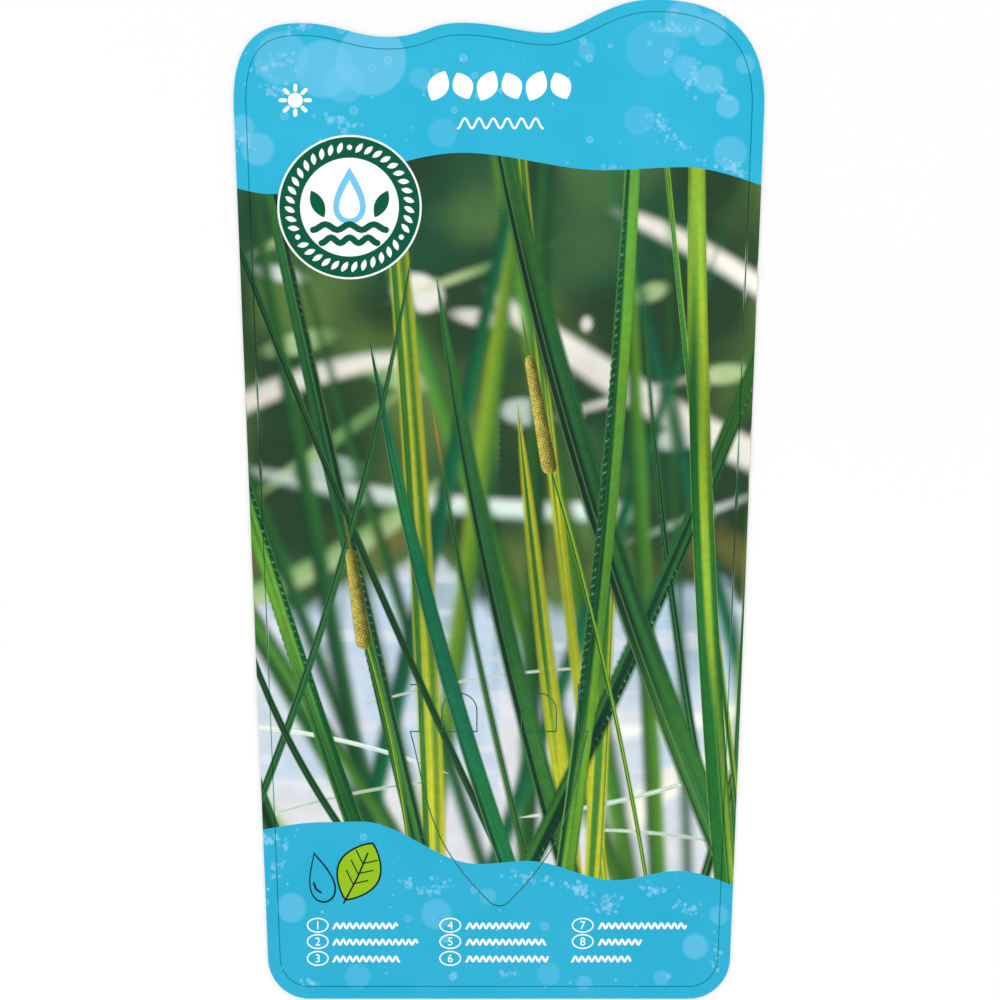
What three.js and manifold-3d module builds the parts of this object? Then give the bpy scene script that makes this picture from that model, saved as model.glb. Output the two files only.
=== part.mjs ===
// A plastic plant label: one thin flat card that tapers to its foot, with a waved top edge and a
// tongue cut out of its lower half, which hooks over the rim of a plant pot.
// Millimetres. The card lies face up: +Z out of the printed face, +Y towards the waved edge.
import * as THREE from 'three';
import { mergeVertices } from 'three/addons/utils/BufferGeometryUtils.js';
import Module from 'manifold-3d';

// The card
const CARD_HEIGHT = 160; // highest crest to foot
const CARD_THICKNESS = 0.5;
const SHOULDER_HALF_WIDTH = 42.5; // where the straight sides start
const SHOULDER_DROP = 17.6; // below the highest crest
const FOOT_HALF_WIDTH = 36.75; // the straight sides carried on to the foot
const FOOT_RADIUS = 6.7;

// The waved edge: its crests and valleys from left to right, each level at its top or bottom.
// drop is measured down from the highest crest, and reach is how far the level stretch is felt.
const TOP_WAVES = [
  { x: -31.9, drop: 3.8, reach: 6.2 },
  { x: -17.7, drop: 6.0, reach: 5.7 },
  { x: -5.9, drop: 3.75, reach: 5.8 },
  { x: 7.9, drop: 5.35, reach: 4.6 },
  { x: 24.8, drop: 0, reach: 7.6 },
];
const LEFT_SHOULDER_REACH = 11.4;
const RIGHT_SHOULDER_REACH = 15.2;

// The tongue, symmetric about the card's middle line
const SLOT_WIDTH = 0.12; // what the cutting blade leaves open
const NECK_TOP_DROP = 109.7; // where the cut ends beside the tongue's root
const NECK_FOOT_DROP = 117.2; // where the neck steps out to the tongue's shoulders
const NECK_HALF_WIDTH = 12.7;
const TONGUE_HALF_WIDTH = 14.2;
const TONGUE_TIP_DROP = 145.1;
const TONGUE_TIP_RADIUS = 2.2;
const TONGUE_TIP_SLOPE = THREE.MathUtils.degToRad(45);
const TONGUE_SIDE_LEAN = THREE.MathUtils.degToRad(15); // from upright, at the shoulder
const TONGUE_SIDE_REACH = 12.2;
const TONGUE_END_REACH = 14.6;

// Two arched flaps in the neck, each held by a nick at its crown and one at its foot
const FLAP_OFFSET = 6.35; // each flap's middle from the card's middle line
const FLAP_HALF_WIDTH = 2.8;
const FLAP_HEIGHT = 6.1;
const NICK = 0.4;

const CURVE_STEPS = 20; // fineness of each round stretch
const OVERCUT = 1; // how far the cutting blade runs past both faces

const wasm = await Module();
wasm.setup();

const PLASTIC = new THREE.MeshStandardMaterial({ color: 0xf2f4f3, roughness: 0.4, metalness: 0 });

// The outline of the card, counter-clockwise from the right shoulder
function cardShape() {
  const fall = CARD_HEIGHT - SHOULDER_DROP;
  const taper = Math.atan2(SHOULDER_HALF_WIDTH - FOOT_HALF_WIDTH, fall);
  const shape = new THREE.Shape();

  shape.moveTo(SHOULDER_HALF_WIDTH, -SHOULDER_DROP);
  const right = TOP_WAVES[TOP_WAVES.length - 1];
  shape.bezierCurveTo(
    SHOULDER_HALF_WIDTH + RIGHT_SHOULDER_REACH * Math.sin(taper),
    -SHOULDER_DROP + RIGHT_SHOULDER_REACH * Math.cos(taper),
    right.x + right.reach, -right.drop,
    right.x, -right.drop,
  );
  for (let i = TOP_WAVES.length - 1; i > 0; i -= 1) {
    const from = TOP_WAVES[i];
    const to = TOP_WAVES[i - 1];
    shape.bezierCurveTo(
      from.x - from.reach, -from.drop,
      to.x + to.reach, -to.drop,
      to.x, -to.drop,
    );
  }
  const left = TOP_WAVES[0];
  shape.bezierCurveTo(
    left.x - left.reach, -left.drop,
    -SHOULDER_HALF_WIDTH - LEFT_SHOULDER_REACH * Math.sin(taper),
    -SHOULDER_DROP + LEFT_SHOULDER_REACH * Math.cos(taper),
    -SHOULDER_HALF_WIDTH, -SHOULDER_DROP,
  );

  const footX = FOOT_HALF_WIDTH + FOOT_RADIUS * (Math.tan(taper) - 1 / Math.cos(taper));
  const footY = FOOT_RADIUS - CARD_HEIGHT;
  shape.absarc(-footX, footY, FOOT_RADIUS, taper - Math.PI, -Math.PI / 2, false);
  shape.absarc(footX, footY, FOOT_RADIUS, -Math.PI / 2, -taper, false);
  return shape;
}

// The points of a path, without the near repeats where two of its curves meet
function pointsOf(path) {
  const points = [];
  for (const point of path.getPoints(CURVE_STEPS)) {
    const last = points[points.length - 1];
    if (!last || last.distanceTo(point) > SLOT_WIDTH / 10) {
      points.push(point);
    }
  }
  return points;
}

// The outline of a slot of the blade's width along an open cut line
function slotAlong(line) {
  const normalAfter = (i) => {
    const step = line[i + 1].clone().sub(line[i]).normalize();
    return new THREE.Vector2(-step.y, step.x);
  };
  const edge = (side) => line.map((point, i) => {
    const before = normalAfter(Math.max(i - 1, 0));
    const after = normalAfter(Math.min(i, line.length - 2));
    const miter = before.clone().add(after).normalize();
    return point.clone().addScaledVector(miter, side * SLOT_WIDTH / 2 / miter.dot(before));
  });
  return new THREE.Shape([...edge(1), ...edge(-1).reverse()]);
}

function mirrored(points) {
  return points.map((point) => new THREE.Vector2(-point.x, point.y));
}

// The cut round the tongue: each end turns out and back, which stops it from tearing further
function tongueSlot() {
  const right = new THREE.Path();
  right.moveTo(TONGUE_HALF_WIDTH, -NECK_TOP_DROP);
  right.lineTo(NECK_HALF_WIDTH, -NECK_TOP_DROP);
  right.lineTo(NECK_HALF_WIDTH, -NECK_FOOT_DROP);
  right.lineTo(TONGUE_HALF_WIDTH, -NECK_FOOT_DROP);

  const tipX = TONGUE_TIP_RADIUS * Math.sin(TONGUE_TIP_SLOPE);
  const tipY = TONGUE_TIP_RADIUS * (1 - Math.cos(TONGUE_TIP_SLOPE)) - TONGUE_TIP_DROP;
  right.bezierCurveTo(
    TONGUE_HALF_WIDTH - TONGUE_SIDE_REACH * Math.sin(TONGUE_SIDE_LEAN),
    -NECK_FOOT_DROP - TONGUE_SIDE_REACH * Math.cos(TONGUE_SIDE_LEAN),
    tipX + TONGUE_END_REACH * Math.cos(TONGUE_TIP_SLOPE),
    tipY + TONGUE_END_REACH * Math.sin(TONGUE_TIP_SLOPE),
    tipX, tipY,
  );
  const tipAngle = TONGUE_TIP_SLOPE - Math.PI / 2;
  right.absarc(0, TONGUE_TIP_RADIUS - TONGUE_TIP_DROP, TONGUE_TIP_RADIUS, tipAngle, -Math.PI / 2, true);

  const half = pointsOf(right);
  const otherHalf = mirrored(half).reverse();
  return slotAlong([...half, ...otherHalf.slice(1)]);
}

// The cut round one arched flap, in two halves that stop short of each other at the nicks
function flapSlots(middle) {
  const springing = FLAP_HEIGHT - FLAP_HALF_WIDTH - NECK_FOOT_DROP;
  const half = new THREE.Path();
  half.moveTo(NICK / 2, -NECK_FOOT_DROP);
  half.lineTo(FLAP_HALF_WIDTH, -NECK_FOOT_DROP);
  const crownAngle = Math.acos(NICK / 2 / FLAP_HALF_WIDTH);
  half.absarc(0, springing, FLAP_HALF_WIDTH, 0, crownAngle, false);

  const right = pointsOf(half);
  return [right, mirrored(right)].map((line) => {
    const placed = line.map((point) => point.clone().add(new THREE.Vector2(middle, 0)));
    return slotAlong(placed);
  });
}

// A flat shape pulled up into a solid between two heights
function solidFrom(shape, bottom, top) {
  const geometry = new THREE.ExtrudeGeometry(shape, {
    depth: top - bottom,
    bevelEnabled: false,
    curveSegments: CURVE_STEPS,
  });
  geometry.translate(0, 0, bottom);
  geometry.deleteAttribute('normal');
  geometry.deleteAttribute('uv');
  const merged = mergeVertices(geometry);
  const mesh = new wasm.Mesh({
    numProp: 3,
    vertProperties: merged.attributes.position.array,
    triVerts: Uint32Array.from(merged.index.array),
  });
  return new wasm.Manifold(mesh);
}

function geometryFrom(solid) {
  const mesh = solid.getMesh();
  const geometry = new THREE.BufferGeometry();
  geometry.setAttribute('position', new THREE.BufferAttribute(mesh.vertProperties, mesh.numProp));
  geometry.setIndex(new THREE.BufferAttribute(mesh.triVerts, 1));
  return geometry;
}

function labelCard() {
  const slots = [tongueSlot(), ...flapSlots(-FLAP_OFFSET), ...flapSlots(FLAP_OFFSET)];
  let solid = solidFrom(cardShape(), 0, CARD_THICKNESS);
  for (const slot of slots) {
    solid = solid.subtract(solidFrom(slot, -OVERCUT, CARD_THICKNESS + OVERCUT));
  }

  // The origin is the middle of the card's back, as its box has it
  const geometry = geometryFrom(solid);
  geometry.computeBoundingBox();
  const middle = geometry.boundingBox.getCenter(new THREE.Vector3());
  geometry.translate(-middle.x, -middle.y, 0);
  geometry.computeVertexNormals();

  const card = new THREE.Mesh(geometry, PLASTIC);
  card.name = 'label_card';
  return card;
}

const label = new THREE.Group();
label.add(labelCard());

export default label;
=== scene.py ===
"""A printed plastic plant label, lying face up on a pale floor and seen from straight above.

Lengths are in millimetres until a mesh is made. A place on the print is x, to the right of the
card's middle line, and drop, down from its highest crest.
"""
import math
from collections import namedtuple

import bpy
import numpy as np
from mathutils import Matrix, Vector
from mathutils.geometry import delaunay_2d_cdt


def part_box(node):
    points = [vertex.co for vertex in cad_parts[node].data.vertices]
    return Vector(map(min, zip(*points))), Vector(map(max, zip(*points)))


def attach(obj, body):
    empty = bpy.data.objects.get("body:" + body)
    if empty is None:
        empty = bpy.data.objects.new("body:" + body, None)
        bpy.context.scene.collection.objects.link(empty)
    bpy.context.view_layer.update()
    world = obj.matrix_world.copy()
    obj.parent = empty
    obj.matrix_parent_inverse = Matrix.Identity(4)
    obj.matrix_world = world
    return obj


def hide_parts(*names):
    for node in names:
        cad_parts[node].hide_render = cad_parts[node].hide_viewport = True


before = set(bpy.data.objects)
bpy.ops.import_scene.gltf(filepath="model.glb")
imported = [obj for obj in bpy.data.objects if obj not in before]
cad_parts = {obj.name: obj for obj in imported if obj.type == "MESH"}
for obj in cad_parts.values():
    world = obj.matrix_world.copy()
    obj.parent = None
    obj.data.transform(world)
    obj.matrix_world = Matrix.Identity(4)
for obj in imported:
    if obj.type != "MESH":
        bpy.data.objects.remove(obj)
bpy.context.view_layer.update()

MM = 0.001
CARD_LOW, CARD_HIGH = (np.array(corner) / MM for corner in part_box("label_card"))
CARD_TOP = CARD_HIGH[1]
CARD_HEIGHT = CARD_HIGH[1] - CARD_LOW[1]
CARD_THICKNESS = CARD_HIGH[2] - CARD_LOW[2]

# The photograph's frame
PHOTO_PIXELS = 1000
PIXEL = 0.16
PHOTO_MIDDLE = (0.16, 80.16)  # x and drop
LENS = 100.0
SENSOR = 36.0

# The card's body
RIM = 0.05  # how much the cutting tool rounds the outer edge
SLOT_RIM = 0.012  # and the edges of the slots
WELD = 0.001  # points closer than this are one
UV_BACK = 0.03  # the share of the texture's height given to the back
UV_RIM = 0.012  # and to each band of the rim
UV_GAP = 0.008

# Where the printed bands end: crests and valleys, each level there, as x and drop
HEADER_WAVE = [(-50, 28.5), (-36.6, 31.2), (-5.9, 24.6), (17, 27.4), (29.5, 26.9), (53, 32.2)]
FOOTER_WAVE = [
    (-50, 134.6), (-28, 131.7), (-22, 131.6), (-3.4, 138.4),
    (4.6, 137.9), (18.4, 141), (28.6, 139.5), (50, 146),
]
BLEED = 12  # how far shapes run past the card before it is cut out

KEYLINE_INSET = 2.0
KEYLINE_WIDTH = 0.17
CUT_LINE_WIDTH = 0.05  # beside the cut round the tongue

BADGE = (-23.92, 33.3)
BADGE_RADII = (11.55, 11.24, 7.9)  # white border, green ring, white middle

GRID = 0.54  # between the points that carry the picture's soft colours
BAND_GRID = 2.5


def smooth(t):
    t = np.clip(t, 0, 1)
    return t * t * (3 - 2 * t)


def ink(red, green, blue):
    """A printed colour, from its sRGB value out of 255."""
    value = np.array([red, green, blue]) / 255
    return np.where(value <= 0.04045, value / 12.92, ((value + 0.055) / 1.055) ** 2.4)


def mixed(first, second, share):
    """Two colours, or arrays of them, mixed by a share or by an array of shares."""
    share = np.asarray(share, float)[..., None]
    return first * (1 - share) + second * share


def noise(x, y, size, seed):
    """Smooth noise from 0 to 1, in lumps of about this size."""
    cells = 61
    lattice = np.random.default_rng(seed).random((cells + 1, cells + 1))
    u = (np.asarray(x) / size) % cells
    v = (np.asarray(y) / size) % cells
    i = u.astype(int)
    j = v.astype(int)
    fu = smooth(u - i)
    fv = smooth(v - j)
    lower = lattice[i, j] * (1 - fu) + lattice[i + 1, j] * fu
    upper = lattice[i, j + 1] * (1 - fu) + lattice[i + 1, j + 1] * fu
    return lower * (1 - fv) + upper * fv


def wave_drop(wave, x):
    """The drop of a band's edge at x."""
    x = np.asarray(x, float)
    drop = np.full(x.shape, float(wave[0][1]))
    for (x0, drop0), (x1, drop1) in zip(wave, wave[1:]):
        drop = np.where(x >= x0, drop0 + (drop1 - drop0) * smooth((x - x0) / (x1 - x0)), drop)
    return drop


# Outlines

DROP_POINTS = 32
END_POINTS = 7  # round each end of a stroke


def oval(x, drop, across, down=None, points=36):
    angle = np.linspace(0, 2 * math.pi, points, endpoint=False)
    down = across if down is None else down
    return np.stack([x + across * np.cos(angle), drop + down * np.sin(angle)], 1)


def turned(loop, x, drop, turn=0.0):
    """A loop drawn about (0, 0), turned clockwise and put in its place."""
    loop = np.asarray(loop, float)
    c, s = math.cos(turn), math.sin(turn)
    return np.stack([x + loop[:, 0] * c - loop[:, 1] * s, drop + loop[:, 0] * s + loop[:, 1] * c], 1)


def leaf_loop(length, width, points=14):
    """A pointed oval about (0, 0), its tips above and below."""
    t = np.linspace(0, 1, points)
    side = width / 2 * np.sin(math.pi * t) ** 0.8
    right = np.stack([side, (t - 0.5) * length], 1)
    left = np.stack([-side[-2:0:-1], (t[-2:0:-1] - 0.5) * length], 1)
    return np.concatenate([right, left])


def drop_loop(height, width):
    """A water drop about (0, 0), its tip above."""
    angle = np.linspace(0, 2 * math.pi, DROP_POINTS, endpoint=False)
    across = width / 2 * np.sin(angle) * np.sin(angle / 2) ** 1.3
    return np.stack([across, -height / 2 * np.cos(angle)], 1)


def unit(vectors):
    return vectors / np.linalg.norm(vectors, axis=1)[:, None]


def beside(vectors):
    """Vectors turned by a right angle: to their left in x and drop, and to their right in x and y."""
    return np.stack([vectors[..., 1], -vectors[..., 0]], -1)


def stroke(line, width):
    """The outline of an open line drawn with a round pen of this width."""
    line = np.asarray(line, float)
    step = unit(np.diff(line, axis=0))
    tangent = unit(np.concatenate([step[:1], step[:-1] + step[1:], step[-1:]]))
    normal = -beside(tangent)
    one = line + normal * width / 2
    other = line - normal * width / 2
    swing = np.linspace(0, math.pi, END_POINTS)[1:-1, None]
    end = line[-1] + width / 2 * (normal[-1] * np.cos(swing) + tangent[-1] * np.sin(swing))
    start = line[0] - width / 2 * (normal[0] * np.cos(swing) + tangent[0] * np.sin(swing))
    return np.concatenate([one, end, other[::-1], start])


def ripple(x0, x1, drop, height, pitch, points_each=8):
    """A wavy line from x0 to x1."""
    count = max(2, round((x1 - x0) / pitch * points_each))
    x = np.linspace(x0, x1, count + 1)
    return np.stack([x, drop + height / 2 * np.cos(2 * math.pi * (x - x0) / pitch)], 1)


def shifted(loop, distance):
    """A loop of x and y moved sideways, to the right of its direction."""
    here = np.asarray(loop, float)
    right = beside(unit(np.roll(here, -1, 0) - here))
    before = np.roll(right, 1, 0)
    miter = (right + before) / (1 + (right * before).sum(1))[:, None]
    return here + miter * distance


def as_drop(loop):
    """A loop of x and y as x and drop, or back."""
    return np.stack([loop[:, 0], CARD_TOP - loop[:, 1]], 1)


# The card's loops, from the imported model

def edge_loops(faces):
    """The loops round a set of faces, each with the faces on its left."""
    edges = set()
    for face in faces:
        for a, b in zip(face, (*face[1:], face[0])):
            if (b, a) in edges:
                edges.remove((b, a))
            else:
                edges.add((a, b))
    after = dict(edges)
    loops = []
    while after:
        first, here = after.popitem()
        loop = [first]
        while here != first:
            loop.append(here)
            here = after.pop(here)
        loops.append(loop)
    return loops


def card_loops():
    """The outline of the card's face and of each slot in it, as x and y in millimetres, outline first."""
    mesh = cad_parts["label_card"].data
    faces = []
    for polygon in mesh.polygons:
        corners = [mesh.vertices[i].co / MM for i in polygon.vertices]
        if min(corner.z for corner in corners) > CARD_THICKNESS - WELD:
            faces.append([(round(corner.x, 4), round(corner.y, 4)) for corner in corners])
    loops = [np.array(loop) for loop in edge_loops(faces)]
    return sorted(loops, key=lambda loop: -np.ptp(loop[:, 1]))


# The print, as shapes over each other

Shape = namedtuple("Shape", "finish paint veil tint")


class Print:
    """The printed shapes, each one over those before it."""

    def __init__(self):
        self.loops = []
        self.owner = []
        self.shapes = []

    def add(self, loops, finish, paint, veil=None, tint=False):
        """Adds a shape. Its paint gives ink, shade, grain and crinkle at x and drop. A veil, from 0 to 1, is
        how much of its ink covers what is below, and a solid shape has none. A tint multiplies instead."""
        for loop in loops:
            self.loops.append(np.asarray(loop, float))
            self.owner.append(len(self.shapes))
        self.shapes.append(Shape(finish, paint, veil, tint))

    def fill(self, colour, *loops, finish="flat", **how):
        """Adds a shape of one colour."""
        self.add(loops, finish, flat(colour), **how)


def flat(colour):
    """A paint of one colour."""
    return lambda x, drop: {"ink": np.broadcast_to(colour, (len(x), 3))}


# Leaves of the picture

TONES = {  # the lit half of a leaf and its shaded half
    "deep": (ink(46, 104, 57), ink(25, 60, 41)),
    "green": (ink(91, 152, 55), ink(22, 80, 44)),
    "fresh": (ink(136, 178, 54), ink(44, 112, 50)),
    "yellow": (ink(172, 184, 48), ink(64, 122, 50)),
    "teal": (ink(30, 112, 78), ink(22, 74, 54)),
    "pale": (ink(194, 214, 156), ink(124, 176, 104)),
    "silver": (ink(224, 232, 227), ink(174, 205, 187)),
    "cream": (ink(248, 245, 235), ink(230, 230, 218)),
    "olive": (ink(112, 128, 60), ink(70, 92, 46)),
}
PALE_TONES = ("pale", "silver", "cream")
TIP_BROWN = ink(172, 128, 60)
DRY_START = 0.86  # share of a leaf's length at which a dry tip starts to brown
DRY_RUN = 0.12
LEAST_LIGHT = 0.74  # on a leaf, in stretches along it
MORE_LIGHT = 0.54  # and how much more where it's brightest
PLAIN_STEP = 1.6  # between the points of a leaf's edge
CRINKLE_STEP = 0.5
CRINKLE_PITCH = 1.3
CRINKLE_DEPTH = 0.07
END_FADE = 7.0  # over which a leaf out of focus fades at each end
SHADOW = ink(14, 34, 24)
SHADOW_VEIL = 0.16
SHADOW_SHIFT = np.array([0.3, 0.15])
SHADOW_LEAST = 1.0  # half width of the leaves that shade what is behind them
EDGE_BLUR = 0.13  # beside each leaf in focus
EDGE_VEIL = 0.45
BACK_BLUR = 0.45  # across the edge of the hindmost of them
BACK_STEPS = 3
TIP_SHARE = 0.012  # of its half width that a leaf keeps at its tip
LEAST_HALF = 0.012  # how far each edge is drawn from the middle line at least
LEAST_STEPS = 12
SUN_TURN = np.array([1.28, 1.07, 0.72])  # what the light does to a lit side where it is warmest
SHADE_TURN = np.array([0.70, 0.88, 0.92])  # and to the shaded side there
PALE_WARMTH = 0.15  # how much of that a pale leaf shows


class Blade:
    """A long leaf along a bent middle line from its foot to its tip, bowing to the left by bow. Its tip is
    pointed, and so is its foot where it's a loose stalk."""

    def __init__(
        self, foot, tip, bow, half_width, tone,
        taper=2.4, crinkle=0.0, dry=0.0, seed=0.5, flip=1, loose=False,
    ):
        self.tone = TONES[tone]
        self.warmth = PALE_WARMTH if tone in PALE_TONES else 1.0
        self.crinkle = crinkle
        self.dry = dry
        self.seed = seed
        self.flip = flip
        foot, tip = np.array([foot, tip], float)
        span = np.linalg.norm(tip - foot)
        middle = (foot + tip) / 2 + 2 * bow * (beside(tip - foot) / span)
        steps = max(LEAST_STEPS, round(span / (CRINKLE_STEP if crinkle else PLAIN_STEP)))
        t = np.linspace(0, 1, steps)[:, None]
        self.line = (1 - t) ** 2 * foot + 2 * t * (1 - t) * middle + t * t * tip
        self.tangent = unit(np.gradient(self.line, axis=0))
        self.normal = beside(self.tangent)
        strides = np.linalg.norm(np.diff(self.line, axis=0), axis=1)
        self.along = np.concatenate([[0], np.cumsum(strides)])
        toward_end = np.abs(2 * t[:, 0] - 1) if loose else t[:, 0]
        self.half = half_width * np.clip(1 - toward_end ** taper, TIP_SHARE, 1)

    def crinkled(self, along):
        """How crinkled the left edge is, which is in stretches."""
        return self.crinkle * smooth((noise(along, 300 * self.seed, 26, 15) - 0.42) * 5)

    def loop(self, wider=0.0):
        bumps = np.sin(self.along * 2 * math.pi / CRINKLE_PITCH + 9 * self.seed)
        one = self.half * (1 + CRINKLE_DEPTH * self.crinkled(self.along) * bumps)
        wider = wider * np.clip(3 * self.half / self.half.max(), 0, 1)
        left = self.line + self.normal * np.maximum(one + wider, LEAST_HALF)[:, None]
        right = self.line - self.normal * np.maximum(self.half + wider, LEAST_HALF)[:, None]
        return np.concatenate([left, right[::-1]])

    def place(self, x, drop):
        """How far along the blade each point is and how far off its middle line, and its half width there."""
        points = np.stack([x, drop], 1)
        skip = max(1, len(self.line) // 40)
        stations = self.line[::skip]
        nearest = ((points[:, None] - stations[None]) ** 2).sum(2).argmin(1) * skip
        off = points - self.line[nearest]
        along = self.along[nearest] + (off * self.tangent[nearest]).sum(1)
        aside = (off * self.normal[nearest]).sum(1)
        return along, aside, np.interp(along, self.along, self.half)

    def colours(self, along):
        """The lit and the shaded colour so far along the leaf."""
        share = along / self.along[-1]
        dry = self.dry * smooth((share - DRY_START) / DRY_RUN)
        light = LEAST_LIGHT + MORE_LIGHT * noise(along, 400 * self.seed, 27, 5)
        warm = self.warmth * smooth(1.9 * noise(along, 500 * self.seed, 19, 6) - 0.45)
        lit, shaded = (mixed(tone, TIP_BROWN, dry) * light[:, None] for tone in self.tone)
        return mixed(lit, lit * SUN_TURN, warm), mixed(shaded, shaded * SHADE_TURN, warm)

    def paint(self, x, drop):
        along, aside, half = self.place(x, drop)
        lit, shaded = self.colours(along)
        across = np.clip(aside / half, -1, 1) * self.flip
        grain = np.stack([along, across, np.full(len(x), self.seed)], 1)
        return {"ink": lit, "shade": shaded, "grain": grain, "crinkle": self.crinkled(along)}


def soft_blade(colours, x, drop, blade, softness):
    """Colours with an out of focus blade over them."""
    low = blade.line.min(0) - 4 * softness - 3
    high = blade.line.max(0) + 4 * softness + 3
    near = np.flatnonzero((x > low[0]) & (x < high[0]) & (drop > low[1]) & (drop < high[1]))
    if not len(near):
        return
    along, aside, half = blade.place(x[near], drop[near])
    inside = smooth((half - np.abs(aside)) / (2 * softness) + 0.5)
    past = np.maximum(-along, along - blade.along[-1])
    inside *= smooth(-past / END_FADE)
    inside *= np.minimum(1, half / softness)
    lit, shaded = blade.colours(along)
    side = smooth(0.5 + 0.5 * blade.flip * aside / (half + softness))
    colours[near] = mixed(colours[near], mixed(lit, shaded, side), inside)


# The picture's soft ground: dark water plants above, pale water below

SHORE = 92  # drop at which the pale water starts
SOFT_SEED = 11
SOFT_COUNT = 17
SOFT_WIDTHS = (0.9, 1.8)  # half widths
FRONT_SEED = 31
FRONT_COUNT = 17
FRONT_BROAD = (1.0, 1.9)
FRONT_SLIM = (0.4, 0.8)


def soft_ground(x, drop):
    """The colours of everything in the picture that is out of focus."""
    dark = ink(40, 67, 44)
    moss = ink(98, 130, 68)
    teal = ink(34, 88, 62)
    sky = ink(186, 209, 229)
    haze = ink(222, 223, 226)
    earth = ink(112, 108, 58)

    lumps = noise(x, drop, 16, 1) * 0.65 + noise(x, drop, 7, 2) * 0.35
    colours = mixed(dark, moss, smooth((lumps - 0.36) * 2.4) * 0.8)
    colours = mixed(colours, teal, smooth((noise(x, drop, 19, 3) - 0.45) * 3) * 0.5)
    ragged = SHORE + 9 * (noise(x, 0, 11, 4) - 0.5) + 3 * (noise(x, drop, 3.2, 8) - 0.5)
    bank = smooth(1 - np.abs(drop - ragged + 4) / 6) * smooth(noise(x, drop, 8, 6) * 2 - 0.5)
    colours = mixed(colours, earth, bank * 0.7)
    water = mixed(sky, haze, smooth((drop - SHORE) / 60 + 0.9 * (noise(x, drop * 1.6, 14, 9) - 0.4)))
    colours = mixed(colours, water, smooth((drop - ragged) / 4))
    reflected = smooth((noise(x * 2.4, drop * 0.25, 5, 12) - 0.55) * 5) * smooth((SHORE + 24 - drop) / 16)
    colours = mixed(colours, ink(120, 146, 134), reflected * 0.4 * smooth((drop - ragged) / 5))
    lines = noise(x * 0.3, drop * 2.2, 4, 13)
    colours = mixed(colours, haze * 1.08, smooth((lines - 0.62) * 5) * 0.5 * smooth((drop - ragged) / 3))
    return colours


PADS = [  # pale floating leaves out of focus: x, drop, half width, half height, turn, tone
    (-27, 75, 6, 2.6, 0.1, "silver"),
    (30, 70, 6.5, 2.4, -0.2, "silver"),
    (4, 66, 4.5, 2.6, 0.05, "silver"),
    (-13, 47, 4.6, 3.4, 0.3, "cream"),
    (-35, 44, 5, 1.8, 0.2, "silver"),
    (14, 52, 1.3, 1.7, 0.1, "cream"),
    (-3, 80, 1.2, 1.5, -0.1, "cream"),
    (-32, 55, 7, 2.3, -0.25, "pale"),
    (-3, 51, 5.5, 1.9, 0.15, "cream"),
    (-17, 60, 6.5, 2.6, 0.35, "pale"),
    (24, 47, 4, 2, -0.3, "pale"),
    (-27, 71, 19, 1.6, -0.62, "pale"),
    (19, 64, 17, 1.3, -0.28, "cream"),
    (-5, 44, 15, 1.3, -0.34, "pale"),
    (31, 83, 15, 1.2, -0.36, "silver"),
    (-34, 38, 9, 1.3, -0.5, "pale"),
    (36, 60, 5, 2.1, -0.1, "pale"),
]


def add_pads(colours, x, drop):
    for px, pdrop, across, down, turn, tone in PADS:
        c, s = math.cos(turn), math.sin(turn)
        u = ((x - px) * c + (drop - pdrop) * s) / across
        v = ((drop - pdrop) * c - (x - px) * s) / down
        inside = smooth((1.12 - np.sqrt(u * u + v * v)) * down / 1.6)
        light, shade = TONES[tone]
        tint = mixed(shade * 0.8, light, smooth(noise(x, drop, 11, 17) * 1.6 - 0.2))
        colours[:] = mixed(colours, tint, inside * 0.9)


FAR_BLADES = [  # foot, tip, bow, half width, tone
    ((47, 76), (-4, 45), 2, 2.4, "cream"),
    ((-47, 68), (-10, 57), 2.5, 1.6, "cream"),
    ((24, 82), (-46, 74), 2.5, 1.4, "silver"),
    ((47, 50), (16, 33), -1.5, 1.5, "cream"),
    ((-47, 98), (-6, 74), -3, 1.7, "pale"),
    ((47, 111), (-2, 116), 3.5, 0.9, "cream"),
    ((14, 146), (42, 121), 7, 2.3, "cream"),
    ((-26, 162), (-52, 116), -6, 1.9, "pale"),
]
FAR_SOFTNESS = 1.1
SOFT_MOST = 1.2  # softness of the farthest of the leaves behind the focus
SOFT_FALL = 0.45  # and how much less the nearest ones have
FLOW = (-0.46, -0.02)  # how far leaves lean to the right at the left and at the right edge
FLOW_SPREAD = 0.13
UPRIGHT_SHARE = 0.22  # of the leaves, which lean against the flow
MIDWAY = 88  # the drop at which leaves are spread evenly over the picture
BED = (-46, 46)  # between which x


def growing(rng, x, length, foot_drop):
    """The foot, the tip and the lean of a leaf that crosses the picture's middle at x."""
    lean = np.interp(x, (-CARD_HIGH[0], CARD_HIGH[0]), FLOW) + rng.normal(0, FLOW_SPREAD)
    if rng.random() < UPRIGHT_SHARE:
        lean = rng.uniform(0.0, 0.4)
    foot = (x - math.tan(lean) * (foot_drop - MIDWAY), foot_drop)
    tip = (foot[0] + math.sin(lean) * length, foot_drop - math.cos(lean) * length)
    return foot, tip, lean


def soft_blades():
    """Leaves behind the focus, far ones first, with how soft each is."""
    rng = np.random.default_rng(SOFT_SEED)
    blades = []
    for shape in FAR_BLADES:
        blades.append((Blade(*shape, seed=rng.random(), taper=6), FAR_SOFTNESS))
    for index, x in enumerate(rng.permutation(np.linspace(*BED, SOFT_COUNT))):
        near = index / SOFT_COUNT
        foot, tip, lean = growing(rng, x, rng.uniform(120, 210), rng.uniform(146, 156))
        tone = rng.choice(["deep", "green", "teal", "fresh", "deep", "green", "teal", "green"])
        blade = Blade(
            foot, tip, -lean * rng.uniform(0, 12), rng.uniform(*SOFT_WIDTHS), str(tone),
            seed=rng.random(), flip=rng.choice([-1, 1]),
        )
        blades.append((blade, SOFT_MOST - SOFT_FALL * near))
    return blades


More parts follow.
